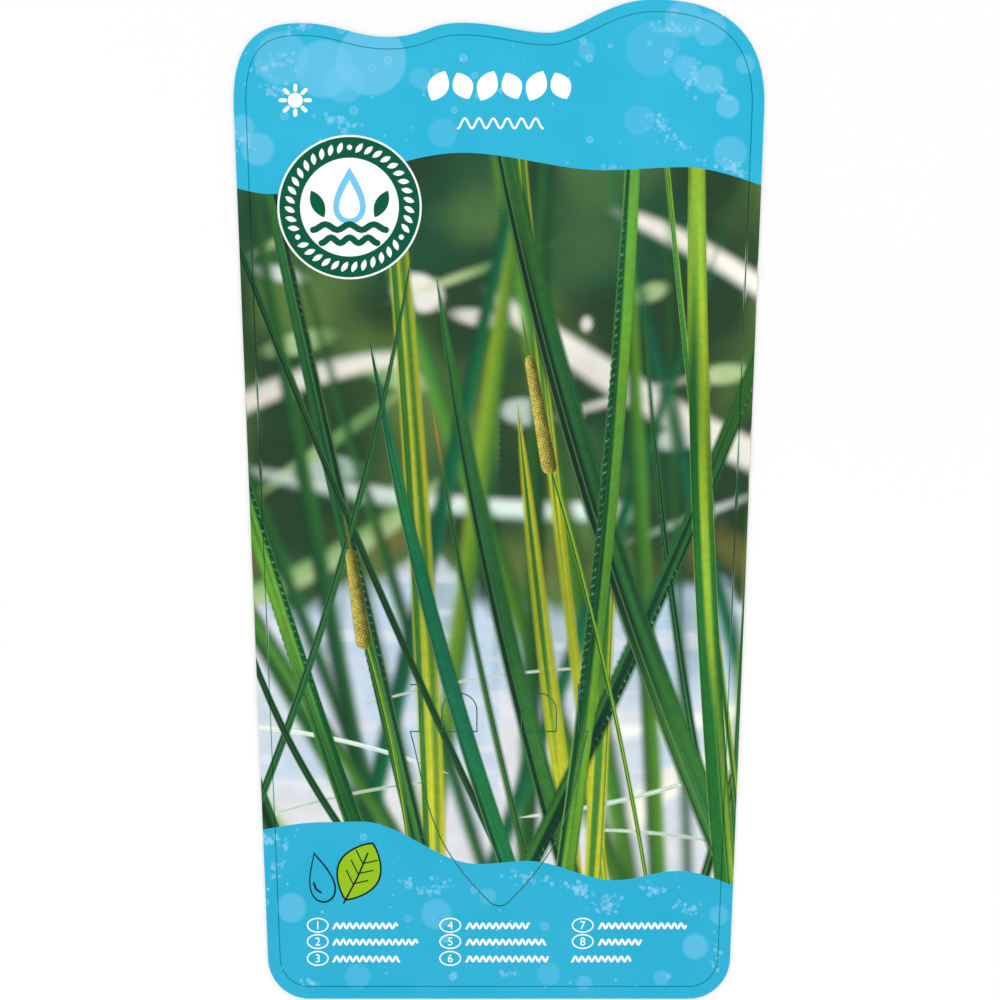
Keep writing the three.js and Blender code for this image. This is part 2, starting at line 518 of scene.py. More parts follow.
SOFT_BLADES = soft_blades()


def picture_ground(x, drop):
    colours = soft_ground(x, drop)
    add_pads(colours, x, drop)
    for blade, softness in SOFT_BLADES:
        soft_blade(colours, x, drop, blade, softness)
    return {"ink": colours}


FOOT_DROP = 150  # where the leaves in focus start, behind the footer
HEROES = [  # the broadest leaves: foot, tip, bow, half width, tone, taper and crinkle
    ((-10, FOOT_DROP), (-22, -16), -2, 1.8, "yellow", 4, 0),
    ((42, FOOT_DROP), (-6, -14), 6, 2.2, "deep", 4, 0),
    ((9, FOOT_DROP), (23, -24), -3, 1.5, "green", 4, 1),
    ((37, FOOT_DROP), (33, -24), 3, 1.7, "fresh", 4, 0),
]
STALKS = [  # thin pale stalks on the water: both ends, bow and half width
    ((-47, 116), (-8, 124), 1.8, 0.26),
    ((3, 131), (47, 119), -1.8, 0.28),
    ((-46, 134), (-9, 125), 1.4, 0.18),
    ((-22, 113), (15, 107), 1.2, 0.16),
    ((10, 133), (47, 138), 1.6, 0.18),
]
LONG_SHARE = 0.7  # of the leaves in focus
CRINKLED_SHARE = 0.15
DRY_SHARE = 0.4


def front_blades():
    """The leaves in focus, back ones first: most lean to the left, and the broadest are among them."""
    rng = np.random.default_rng(FRONT_SEED)
    blades = []
    for shape in STALKS:
        blades.append(Blade(*shape, "silver", seed=rng.random(), taper=5, loose=True))
    for index, x in enumerate(rng.permutation(np.linspace(*BED, FRONT_COUNT))):
        length = rng.uniform(170, 240) if rng.random() < LONG_SHARE else rng.uniform(75, 125)
        foot, tip, lean = growing(rng, x, length, FOOT_DROP)
        tone = rng.choice(["deep", "green", "deep", "fresh", "yellow", "deep", "green", "green", "teal"])
        broad = index % 5 > 1
        blades.append(Blade(
            foot, tip,
            bow=-lean * rng.uniform(2, 18),
            half_width=rng.uniform(*(FRONT_BROAD if broad else FRONT_SLIM)),
            tone=str(tone),
            taper=rng.uniform(2.4, 4.0),
            crinkle=float(rng.random() < CRINKLED_SHARE),
            dry=float(rng.random() < DRY_SHARE),
            seed=rng.random(),
            flip=rng.choice([-1, 1]),
        ))
        if index % 4 == 3:
            blades.append(Blade(*HEROES[index // 4], seed=rng.random()))
    return blades


SPIKES = [  # reed heads: their stalk's foot x, their foot and their top
    (25, (8.2, 76), (4.8, 57)),
    (-13, (-21.5, 104), (-23.9, 88)),
]
SPIKE_HALF = 1.25
SPIKE_TAPER = 0.35  # of its half width that a head loses up to its top
SPIKE_STALK = 0.3
SPIKE_LIT = ink(206, 192, 92)
SPIKE_SHADE = ink(84, 86, 34)
SPIKE_EDGE = ink(120, 116, 52)


class Spike:
    """A long reed head with round ends."""

    def __init__(self, foot, tip, seed):
        self.foot = foot
        self.run = tip - foot
        self.length = np.linalg.norm(self.run)
        self.normal = beside(self.run / self.length)
        self.seed = seed

    def loop(self, wider=0.0):
        t = (1 - np.cos(np.linspace(0, math.pi, 30))) / 2
        from_end = np.minimum(t, 1 - t) * self.length
        side = SPIKE_HALF * np.sqrt(np.clip(1 - np.clip(1 - from_end / SPIKE_HALF, 0, 1) ** 2, 0, 1))
        side = side * (1 - SPIKE_TAPER * t) + wider
        line = self.foot + t[:, None] * self.run
        off = self.normal * side[:, None]
        return np.concatenate([line + off, (line - off)[-2:0:-1]])

    def paint(self, x, drop):
        off = np.stack([x, drop], 1) - self.foot
        along = off @ (self.run / self.length)
        half = SPIKE_HALF * (1 - SPIKE_TAPER * np.clip(along / self.length, 0, 1))
        across = np.clip(off @ self.normal / half, -1, 1)
        return {
            "ink": np.broadcast_to(SPIKE_LIT, (len(x), 3)),
            "shade": np.broadcast_to(SPIKE_SHADE, (len(x), 3)),
            "grain": np.stack([along, across, np.full(len(x), self.seed)], 1),
        }


# The printed matter

WHITE = ink(255, 255, 255)
HEADER_BLUE = ink(44, 180, 216)
FOOTER_BLUE = ink(41, 173, 209)
BUBBLE = ink(120, 200, 238)
FOAM_INK = ink(152, 209, 243)
LINE_TINT = ink(92, 178, 154)  # what a thin line leaves of the light
BADGE_GREEN = ink(8, 90, 63)
BADGE_BLUE = ink(118, 201, 238)
LIME = ink(147, 193, 31)
BLACK = ink(24, 26, 24)


def add_picture(sheet, outline):
    sheet.add([outline], "picture", picture_ground)
    blades = front_blades()
    for index, blade in enumerate(blades):
        if blade.half.max() > SHADOW_LEAST:
            sheet.fill(SHADOW, blade.loop() + SHADOW_SHIFT, finish="leaf", veil=SHADOW_VEIL)
        add_leaf(sheet, blade, back=index < len(STALKS) + (len(blades) - len(STALKS)) // 2)
    for index, (stalk_x, foot, tip) in enumerate(SPIKES):
        foot, tip = np.array([foot, tip])
        run = tip - foot
        stalk_end = foot + 0.2 * run
        stalk = Blade((stalk_x, FOOT_DROP), stalk_end, -1.5, SPIKE_STALK, "fresh", taper=40, seed=0.7)
        point = Blade(tip - 0.1 * run, tip + 0.35 * run, 0, 0.6 * SPIKE_STALK, "olive", seed=0.2)
        add_leaf(sheet, stalk)
        add_leaf(sheet, point)
        spike = Spike(foot, tip, 0.3 + index)
        sheet.fill(SPIKE_EDGE, spike.loop(EDGE_BLUR), finish="spike", veil=EDGE_VEIL)
        sheet.add([spike.loop()], "spike", spike.paint)


def add_leaf(sheet, blade, back=False):
    """A leaf with the little blur that its edges have, and more of it at the back."""
    inner = 0.0
    if back and blade.half.max() > BACK_BLUR:
        inner = -BACK_BLUR / 3
        for step in range(BACK_STEPS, 0, -1):
            wider = inner + BACK_BLUR * step / BACK_STEPS
            sheet.add([blade.loop(wider)], "leaf", blade.paint, 1 / (step + 1))
    else:
        sheet.add([blade.loop(EDGE_BLUR)], "leaf", blade.paint, EDGE_VEIL)
    sheet.add([blade.loop(inner)], "leaf", blade.paint)


def band_loop(wave, limit):
    """A band's outline, between its wavy edge and a drop past the card's end."""
    x = np.linspace(wave[0][0], wave[-1][0], 160)
    edge = np.stack([x, wave_drop(wave, x)], 1)
    return np.concatenate([edge, [(x[-1], limit), (x[0], limit)]])


def in_band(x, drop, radius):
    """Whether a bubble lies inside the header or the footer."""
    edge = np.array([-radius, 0, radius]) + x
    above = drop + radius < wave_drop(HEADER_WAVE, edge).min()
    below = drop - radius > wave_drop(FOOTER_WAVE, edge).max()
    return above or below


BIG_BUBBLES = [  # x, drop, radius, veil
    (-34.8, 9.5, 4.3, 0.34), (-28, 11.2, 4.6, 0.46), (-20.5, 9.8, 5.6, 0.52), (-24.8, 13.4, 3.2, 0.3),
    (-38.6, 24, 2.6, 0.42), (-39.2, 27.6, 3.4, 0.44), (-41.2, 20.6, 2, 0.4), (2, 23, 2.6, 0.2),
    (-12.6, 12.6, 1.7, 0.22), (-9, 21.4, 2.3, 0.2), (14, 8.2, 1.4, 0.24), (24.6, 8, 4.4, 0.16),
    (29.8, 11, 1.9, 0.42), (33.6, 12.8, 2.2, 0.5), (36.6, 17.2, 1.8, 0.52), (29.6, 3.2, 3, 0.34),
    (33.8, 4.9, 2.6, 0.4), (39.4, 10.4, 1.5, 0.36), (37, 24.6, 2.6, 0.34), (22.4, 19.4, 2.4, 0.18),
    (-33.2, 145.4, 2.3, 0.36), (-10, 146.4, 2.4, 0.28), (33.6, 140.6, 1.3, 0.32), (31.4, 151.6, 2, 0.4),
    (26, 156.6, 1.2, 0.3), (-22.6, 156.4, 2, 0.2), (8, 156, 1.8, 0.18), (35.2, 146.6, 1.5, 0.3),
    (-1.8, 143.6, 1.3, 0.24), (13.6, 157.4, 1.1, 0.32),
]
FOAM = [  # clusters of tiny bubbles: x, drop, half length, half height, turn, count
    (-36.6, 10.8, 3.4, 1.5, -0.5, 46), (-35.8, 14.6, 2.6, 0.8, 0.1, 24), (-25.6, 19.4, 3.2, 0.8, 0.2, 44),
    (-40.6, 22.6, 1.8, 1.2, 0.1, 30), (-32.2, 4.8, 2.2, 0.9, -0.4, 22), (28, 4.6, 3.8, 0.9, 0.1, 44),
    (31, 12.6, 1.2, 2.4, 0.2, 34), (25.6, 20, 1.4, 2.4, -0.5, 34), (37.4, 27.2, 4.2, 1.1, 0.25, 60),
    (28.6, 22.6, 2, 0.8, 0.8, 22), (35.6, 14.8, 2.2, 0.8, 0.4, 24), (19, 27.2, 3.2, 0.6, 0, 20),
    (-37, 134.4, 3.4, 0.9, 0.3, 44), (-35.6, 138.8, 1.2, 1.8, 0, 14), (-10.4, 142.2, 2.2, 0.9, -0.2, 30),
    (-14.8, 141.6, 1.4, 1, 0.7, 14), (4.4, 140.6, 3.6, 0.7, 0.1, 28), (12.2, 142.6, 2.6, 1, 0.4, 36),
    (17.6, 145, 2.4, 1.2, -0.3, 36), (24.6, 142.4, 2.2, 0.8, 0.3, 22), (29.6, 145.2, 1.8, 1, 0.5, 20),
    (1.6, 155.6, 2.4, 0.8, -0.3, 12), (35, 153, 0.8, 2.4, 0, 16), (-30.4, 157.2, 2, 0.6, 0, 10),
]
FOAM_RADII = (0.1, 0.42)
FOAM_SPREAD = 0.55  # of a cluster's half length and half height, as a standard deviation
FOAM_SEED = 23
SPREAD = 0.18  # how far a big bubble's edge fades to each side
SPECKS = 170  # single bubbles strewn over both bands
TINY_SHARE = 0.7  # of them, and the others have a brighter edge
BUBBLE_EDGE = 0.22


def add_bands(sheet):
    sheet.fill(HEADER_BLUE, band_loop(HEADER_WAVE, -BLEED), finish="band")
    sheet.fill(FOOTER_BLUE, band_loop(FOOTER_WAVE, CARD_HEIGHT + BLEED), finish="band")
    rng = np.random.default_rng(FOAM_SEED)
    for x, drop, radius, veil in BIG_BUBBLES:
        for spread in (SPREAD, 0, -SPREAD):
            add_bubble(sheet, x, drop, radius + spread, BUBBLE, veil / 2)
    for x, drop, across, down, turn, count in FOAM:
        spots = turned(rng.normal(0, FOAM_SPREAD, (count, 2)) * (across, down), x, drop, turn)
        for bx, bdrop in spots:
            add_bubble(sheet, bx, bdrop, rng.uniform(*FOAM_RADII), FOAM_INK, rng.uniform(0.12, 0.5))
    for _ in range(SPECKS):
        x, drop = rng.uniform(-42, 42), rng.choice([rng.uniform(1, 31), rng.uniform(132, 159)])
        if rng.random() < TINY_SHARE:
            add_bubble(sheet, x, drop, rng.uniform(0.08, 0.26), FOAM_INK, rng.uniform(0.25, 0.8))
        else:
            radius = rng.uniform(0.35, 0.8)
            add_bubble(sheet, x, drop, radius, FOAM_INK, rng.uniform(0.15, 0.35))
            add_bubble(sheet, x, drop, radius, FOAM_INK, rng.uniform(0.1, 0.3), radius - BUBBLE_EDGE)


def add_bubble(sheet, x, drop, radius, colour, veil, hollow=0):
    """A translucent disc or ring, if it lies inside the header or the footer."""
    if in_band(x, drop, radius):
        points = 12 if radius < 0.5 else 28
        loops = [oval(x, drop, size, points=points) for size in (radius, hollow) if size]
        sheet.fill(colour, *loops, finish="band", veil=veil)


def add_keyline(sheet, loops):
    """The thin line inside the card's edge, and the one that marks the cut."""
    half = KEYLINE_WIDTH / 2
    sides = [as_drop(shifted(loops[0], -KEYLINE_INSET + side)) for side in (half, -half)]
    sheet.fill(LINE_TINT, *sides, veil=1, tint=True)
    for slot in loops[1:]:
        sheet.fill(LINE_TINT, as_drop(shifted(slot, -CUT_LINE_WIDTH)), veil=1, tint=True)


BADGE_MARKS = 39  # round its ring, a dot at each third of it and leaves between them
RING_POINTS = 96


def add_badge(sheet):
    """A drop, two leaves and two waves in a green ring with small marks."""
    x, drop = BADGE
    white, *ring = (oval(x, drop, radius, points=RING_POINTS) for radius in BADGE_RADII)
    sheet.fill(WHITE, white)
    sheet.fill(BADGE_GREEN, *ring)
    outer, inner = BADGE_RADII[1:]
    radius = (outer + inner) / 2
    for index in range(BADGE_MARKS):
        angle = 2 * math.pi * index / BADGE_MARKS
        at = (x + radius * math.sin(angle), drop - radius * math.cos(angle))
        if index % (BADGE_MARKS // 3) == 0:
            sheet.fill(WHITE, oval(*at, 0.42, points=16))
        else:
            sheet.fill(WHITE, turned(leaf_loop(1.9, 0.85, 8), *at, angle + 0.5))
    tear = turned(drop_loop(9.2, 7.2), x, drop - 1.9)
    sheet.fill(BADGE_BLUE, tear, turned(drop_loop(6.2, 4.6), x, drop - 1.25))
    for level in (3.2, 5.3):
        reach = math.sqrt(inner ** 2 - level ** 2) - 1.4
        line = ripple(x - reach, x + reach, drop + level, 0.9, reach * 2 / 3)
        sheet.fill(BADGE_GREEN, stroke(line, 1.05))
    for side in (-1, 1):
        sheet.fill(BADGE_GREEN, turned(leaf_loop(4.8, 2.1), x + side * 5.1, drop - 0.5, side * 0.45))


TITLE_LEAVES = 6
TITLE = (-9.7, 13.9)  # the first one's middle
TITLE_PITCH = 3.92
SUN = (-32.6, 16.2)
SUN_RAYS = 8


def add_title(sheet):
    """A row of bold white leaves, a thin wave below them, and a small sun."""
    x, drop = TITLE
    for index in range(TITLE_LEAVES):
        tall, lean = ((5.2, 0.42), (4.6, -0.42))[index % 2]
        sheet.fill(WHITE, turned(leaf_loop(tall, 3.3), x + index * TITLE_PITCH, drop, lean))
    sheet.fill(WHITE, stroke(ripple(-6.6, 7.0, 19.9, 1.6, 2.27, 16), 0.34))
    sheet.fill(WHITE, oval(*SUN, 1.2))
    for index in range(SUN_RAYS):
        angle = 2 * math.pi * index / SUN_RAYS
        outward = np.array([math.sin(angle), -math.cos(angle)])
        sheet.fill(WHITE, turned(stroke([1.65 * outward, 2.35 * outward], 0.62), *SUN))


EMBLEM = (-22.4, 139.6)  # the middle of its leaf
LEAF_TURN = 0.45
TEAR_OFFSET = -6.2
TEAR_TURN = -0.25


def add_emblem(sheet):
    """A lime leaf and an unfilled drop with dark outlines."""
    x, drop = EMBLEM
    for colour, length, width in ((BLACK, 10.4, 7.2), (LIME, 9.7, 6.6)):
        sheet.fill(colour, turned(leaf_loop(length, width, 20), x, drop, LEAF_TURN))
    veins = [stroke([(0, 5.6), (0.2, 1), (0, -3.2)], 0.28)]
    for level in (2.2, 0.4, -1.4):
        veins.extend(stroke([(0, level), (side * 1.9, level - 1.5)], 0.2) for side in (-1, 1))
    for vein in veins:
        sheet.fill(BLACK, turned(vein, x, drop, LEAF_TURN))
    x += TEAR_OFFSET
    sheet.fill(BLACK, turned(drop_loop(8.4, 5.8), x, drop + 0.9, TEAR_TURN))
    sheet.fill(FOOTER_BLUE, turned(drop_loop(7.6, 5.1), x, drop + 1, TEAR_TURN), finish="band")
    glint = stroke([(-1.2, 0.6), (-1.1, 1.6), (-0.5, 2.3)], 0.35)
    sheet.fill(BLACK, turned(glint, x, drop + 1, TEAR_TURN))


ROW_DROPS = (148.2, 150.8, 153.5)
COLUMNS = [  # the ovals' x, where the wavy lines beside them start, and how long those are
    (-29.0, -26.7, (10.6, 13.8, 10.9)),
    (-7.8, -5.4, (10.4, 13.0, 13.4)),
    (13.4, 15.8, (14.3, 7.1, 9.7)),
]
OVALS = 8
DIGIT_HEIGHT = 1.3
DIGIT_SHARE = 0.7  # of a font's size that its digits are tall


def add_rows(sheet):
    """Three columns of wavy lines, each line but the last one with a numbered oval before it."""
    for column, (oval_x, line_x, lengths) in enumerate(COLUMNS):
        for row, (drop, length) in enumerate(zip(ROW_DROPS, lengths)):
            number = len(ROW_DROPS) * column + row + 1
            start = line_x if number <= OVALS else oval_x - 1.9
            if number <= OVALS:
                sheet.fill(WHITE, oval(oval_x, drop, 1.75, 1.2), oval(oval_x, drop, 1.55, 1.0))
                sheet.fill(WHITE, *digit_loops(str(number), oval_x, drop))
            line = ripple(start + 0.2, start + length - 0.2, drop + 0.1, 0.82, 1.05)
            sheet.fill(WHITE, stroke(line, 0.36))


def digit_loops(text, x, drop):
    """The outline loops of a printed number, centred on x and drop."""
    curve = bpy.data.curves.new("number", "FONT")
    curve.body = text
    curve.size = DIGIT_HEIGHT / DIGIT_SHARE
    curve.offset = 0.03
    curve.fill_mode = "NONE"
    curve.resolution_u = 4
    drawn = linked("number", curve)
    mesh = drawn.evaluated_get(bpy.context.evaluated_depsgraph_get()).to_mesh()
    places = np.array([vertex.co[:2] for vertex in mesh.vertices])
    closing = [edge.vertices for edge in mesh.edges if abs(edge.vertices[0] - edge.vertices[1]) > 1]
    loops = [places[min(ends):max(ends) + 1] for ends in closing]
    drawn.to_mesh_clear()
    bpy.data.objects.remove(drawn)
    bpy.data.curves.remove(curve)
    middle = (places.max(0) + places.min(0)) / 2
    return [(loop - middle) * (1, -1) + (x, drop) for loop in loops]


PICTURE_DROPS = (24, 143)  # between which the picture shows
POINTS_REACH = 42.2  # just inside the card's widest part


def free_points():
    """Points between the shapes' edges, to carry soft changes of colour."""
    top, foot = PICTURE_DROPS
    points = []
    for spacing, first, last in ((GRID, top, foot), (BAND_GRID, 1, top), (BAND_GRID, foot, CARD_HEIGHT - 1)):
        rows = np.arange(first, last, spacing * math.sqrt(3) / 2)
        for index, drop in enumerate(rows):
            x = np.arange(-POINTS_REACH + spacing / 2 * (index % 2), POINTS_REACH, spacing)
            points.append(np.stack([x, np.full(len(x), drop)], 1))
    return np.concatenate(points)


def signed_area(loop):
    x, y = np.asarray(loop).T
    return (x * np.roll(y, -1) - np.roll(x, -1) * y).sum() / 2


def triangulated(loops, points):
    """Triangles that keep to every loop: places, corners, and for each triangle the loops that hold it."""
    places, faces = [], []
    for loop in loops:
        numbers = list(range(len(places), len(places) + len(loop)))
        faces.append(numbers if signed_area(loop) > 0 else numbers[::-1])
        places.extend(loop)
    places.extend(points)
    vectors = [Vector(place) for place in places]
    found = delaunay_2d_cdt(vectors, [], faces, 0, WELD / 10, True)
    xy = np.array([tuple(vector) for vector in found[0]])
    return xy, np.array(found[2]), found[5], found[3]


def painted_face(sheet):
    """The print cut into triangles: places, corners, finishes, and the values that the inks read."""
    xy, corners, holders, _ = triangulated(sheet.loops, as_drop(free_points()))
    kept, finishes, showing = [], [], {}
    for index, loops in enumerate(holders):
        stack = set()
        for loop in loops:
            stack ^= {sheet.owner[loop]}
        if 0 not in stack:
            continue
        solid = max(shape for shape in stack if sheet.shapes[shape].veil is None)
        for shape in stack:
            if shape >= solid:
                showing.setdefault(shape, []).append(len(kept))
        kept.append(index)
        finishes.append(sheet.shapes[solid].finish)
    corners = corners[kept]
    x, drop = as_drop(xy[corners.reshape(-1)]).T

    values = {
        "ink": np.ones((len(x), 3)), "shade": np.ones((len(x), 3)),
        "grain": np.zeros((len(x), 3)), "crinkle": np.zeros(len(x)),
    }
    for shape in sorted(showing):
        mine = (np.array(showing[shape])[:, None] * 3 + np.arange(3)).reshape(-1)
        layer = sheet.shapes[shape]
        given = layer.paint(x[mine], drop[mine])
        given.setdefault("shade", given["ink"])
        if layer.veil is None:
            for name, value in given.items():
                values[name][mine] = value
            continue
        for name in ("ink", "shade"):
            below = values[name][mine]
            colour = below * given[name] if layer.tint else given[name]
            values[name][mine] = mixed(below, colour, layer.veil)
    return xy, corners, finishes, values


def rim_sizes(loops):
    """How much each of the card's loops is rounded, its outline first."""
    return [RIM] + [SLOT_RIM] * (len(loops) - 1)


def card_mesh(sheet):
    """The whole card as one closed mesh: its printed face, its rounded rim and slots, and its back."""
    face_xy, face_corners, finishes, values = painted_face(sheet)
    used = np.unique(face_corners)
    renumber = np.full(len(face_xy), -1)
    renumber[used] = np.arange(len(used))
    face_xy = face_xy[used]
    face_corners = renumber[face_corners]
    loops = edge_loops([tuple(face) for face in face_corners.tolist()])
    loops.sort(key=lambda loop: -np.ptp(face_xy[loop, 1]))
    rims = rim_sizes(loops)

    places = [np.column_stack([face_xy, np.full(len(face_xy), CARD_THICKNESS)])]
    rings = [loops]
    count = len(face_xy)
    for level in (1, 2, 3):
        ring = []
        for loop, rim in zip(loops, rims):
            out = face_xy[loop] if level == 3 else shifted(face_xy[loop], rim)
            height = (CARD_THICKNESS - rim, rim, 0)[level - 1]
            places.append(np.column_stack([out, np.full(len(out), height)]))
            ring.append(list(range(count, count + len(loop))))
            count += len(loop)
        rings.append(ring)

    faces = face_corners.tolist()
    cut_walls = []
    face_low = UV_BACK + 2 * UV_GAP + 3 * UV_RIM
    uvs = [side_uv(face_xy[face_corners.reshape(-1)], face_low, 1 - face_low)]
    for level, (upper, lower) in enumerate(zip(rings, rings[1:])):
        low = UV_BACK + UV_GAP + level * UV_RIM
        done, whole = 0, sum(len(loop) for loop in loops)
        for number, (up, down) in enumerate(zip(upper, lower)):
            if number > 0:
                cut_walls.extend(range(len(faces), len(faces) + len(up)))
            for i in range(len(up)):
                j = (i + 1) % len(up)
                faces.append([up[j], up[i], down[i], down[j]])
                left, right = (done + i) / whole, (done + i + 1) / whole
                high = low + UV_RIM
                uvs.append([(right, high), (left, high), (left, low), (right, low)])
            done += len(up)

    places = np.concatenate(places)
    back_loops = [places[loop][:, :2] for loop in rings[-1]]
    back_start = rings[-1][0][0]
    xy, corners, holders, sources = triangulated(back_loops, [])
    source = np.array([found[0] for found in sources])
    for face, held in zip(corners, holders):
        if len(held) % 2:
            faces.append((source[face][::-1] + back_start).tolist())
            uvs.append(side_uv(xy[face][::-1], 0, UV_BACK))

    mesh = bpy.data.meshes.new("printed_card")
    mesh.from_pydata((places * MM).tolist(), [], faces)
    fill_values(mesh, values, np.concatenate(uvs))
    for make_material in MATERIALS.values():
        mesh.materials.append(make_material())
    names = list(MATERIALS)
    slots = np.full(len(faces), names.index("core"))
    slots[:len(finishes)] = [names.index(finish) for finish in finishes]
    slots[cut_walls] = names.index("cut")
    mesh.polygons.foreach_set("material_index", slots)
    mesh.validate()
    return mesh


def side_uv(xy, low, height):
    """Where places on the card's face or back lie in a strip of the texture."""
    u = (xy[:, 0] - CARD_LOW[0]) / (CARD_HIGH[0] - CARD_LOW[0])
    v = low + (xy[:, 1] - CARD_LOW[1]) / CARD_HEIGHT * height
    return np.column_stack([u, v])


def fill_values(mesh, values, uv):
    """Writes the inks' values and the texture map to the corners of the mesh."""
    corners = len(mesh.loops)
    for name, value in values.items():
        kind = "FLOAT_VECTOR" if value.ndim == 2 else "FLOAT"
        whole = np.zeros((corners, *value.shape[1:]), np.float32)
        whole[:len(value)] = value
        layer = mesh.attributes.new(name, kind, "CORNER")
        layer.data.foreach_set("vector" if value.ndim == 2 else "value", whole.reshape(-1))
    layer = mesh.uv_layers.new(name="OFBake")
    layer.data.foreach_set("uv", np.asarray(uv, np.float32).reshape(-1))


# Materials

class Nodes:
    """The nodes of a new material, or of a new world, each added by one short call."""

    def __init__(self, name, world=False):
        self.owner = (bpy.data.worlds if world else bpy.data.materials).new(name)
        self.owner.use_nodes = True
        self.tree = self.owner.node_tree
        self.shader = self.tree.nodes["Background" if world else "Principled BSDF"]

    def add(self, kind, inputs=(), **settings):
        """Adds a node. Its inputs are numbers, or the outputs of other nodes, by name or in order."""
        node = self.tree.nodes.new("ShaderNode" + kind)
        for name, value in settings.items():
            setattr(node, name, value)
        pairs = inputs.items() if isinstance(inputs, dict) else enumerate(inputs)
        for key, value in pairs:
            self.feed(node.inputs[key], value)
        return node.outputs[0]

    def feed(self, socket, value):
        if isinstance(value, bpy.types.NodeSocket):
            self.tree.links.new(value, socket)
        else:
            socket.default_value = value

    def shade(self, **values):
        """Feeds the shader's sockets, with _ for each space in a name."""
        for name, value in values.items():
            self.feed(self.shader.inputs[name.replace("_", " ")], value)

    def attribute(self, name, output="Vector"):
        node = self.tree.nodes.new("ShaderNodeAttribute")
        node.attribute_name = name
        return node.outputs[output]

    def leaf_values(self):
        """The lit and the shaded ink, and the places along and across with the seed."""
        return self.attribute("ink"), self.attribute("shade"), self.parts(self.attribute("grain"))

    def math(self, operation, *inputs):
        return self.add("Math", inputs, operation=operation)

    def times(self, first, second):
        return self.math("MULTIPLY", first, second)

    def ramp(self, value, low, high, to_low=0.0, to_high=1.0):
        """A value taken smoothly from one range to another."""
        inputs = {"Value": value, "From Min": low, "From Max": high, "To Min": to_low, "To Max": to_high}
        return self.add("MapRange", inputs, interpolation_type="SMOOTHSTEP")

    def mix(self, share, first, second, blend="MIX"):
        node = self.tree.nodes.new("ShaderNodeMix")
        node.data_type = "RGBA"
        node.blend_type = blend
        self.feed(node.inputs[0], share)
        self.feed(node.inputs[6], first)
        self.feed(node.inputs[7], second)
        return node.outputs[2]

    def lit(self, colour, light):
        """A colour times a grey value."""
        return self.mix(1.0, colour, self.add("CombineColor", [light] * 3), "MULTIPLY")

    def noise(self, vector, scale, detail=2.0, roughness=0.5):
        inputs = {"Vector": vector, "Scale": scale, "Detail": detail, "Roughness": roughness}
        return self.add("TexNoise", inputs)

    def place(self, output="Object"):
        """A point's place on the object in metres, or its place by another of the node's outputs."""
        return self.tree.nodes.new("ShaderNodeTexCoord").outputs[output]

    def parts(self, vector):
        node = self.tree.nodes.new("ShaderNodeSeparateXYZ")
        self.tree.links.new(vector, node.inputs[0])
        return node.outputs

    def stretched(self, parts, factors):
        """A vector of three values, each of them times its factor."""
        return self.add("CombineXYZ", [self.times(part, factor) for part, factor in zip(parts, factors)])


def satin(nodes, colour, roughness=0.27, grain=0.03):
    """The clear coat that every printed area shares: fine ink grain, uneven gloss and a faint orange peel."""
    place = nodes.place()
    light = nodes.ramp(nodes.noise(place, 9000, 1.0), 0.25, 0.75, 1 - grain, 1 + grain)
    gloss = nodes.ramp(nodes.noise(place, 60, 3.0), 0.3, 0.7, roughness - 0.04, roughness + 0.05)
    peel = {"Strength": 0.06, "Distance": 0.00005, "Height": nodes.noise(place, 700)}
    nodes.shade(
        Base_Color=nodes.lit(colour, light), Roughness=gloss, Normal=nodes.add("Bump", peel),
        Specular_IOR_Level=0.08,
    )
    return nodes.owner


def core_material():
    """White plastic right through, seen at the cut edges and on the back."""
    nodes = Nodes("white_plastic")
    cloud = nodes.ramp(nodes.noise(nodes.place(), 45, 4.0), 0.3, 0.7)
    colour = nodes.mix(cloud, (0.74, 0.755, 0.755, 1), (0.79, 0.8, 0.8, 1))
    return satin(nodes, colour, roughness=0.38, grain=0.01)


def picture_material():
    """Soft colours from the corners, with the fine structure of a screened photograph."""
    nodes = Nodes("picture_ink")
    light = nodes.ramp(nodes.noise(nodes.place(), 300, 3.0), 0.2, 0.8, 0.94, 1.06)
    return satin(nodes, nodes.lit(nodes.attribute("ink"), light))


